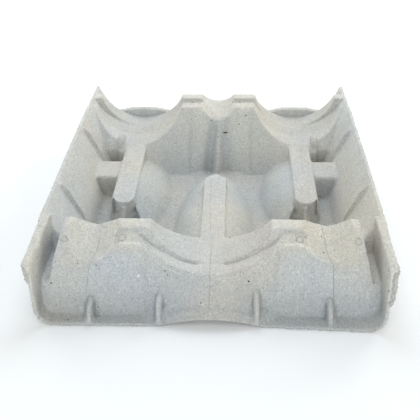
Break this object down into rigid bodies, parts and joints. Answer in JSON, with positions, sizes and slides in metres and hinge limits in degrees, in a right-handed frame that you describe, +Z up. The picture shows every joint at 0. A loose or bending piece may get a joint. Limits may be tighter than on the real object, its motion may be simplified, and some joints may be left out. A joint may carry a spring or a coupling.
{
  "type": "bottle divider tray",
  "caption": "Moulded grey pulp tray that cradles bottles lying head to tail, with round body saddles, neck notches, flat-topped strips and domes inside a flared trough",
  "frame": {"origin": "middle of the footprint, on the table", "axes": "X across the lanes, Y along the bottles from the front end to the back end, Z up"},
  "size_m": [0.255, 0.322, 0.052],
  "materials": {
    "pulp": "matte grey recycled fibre with fine specks"
  },
  "bodies": {
    "root": {"bottle_divider": "pulp"}
  },
  "joints": []
}
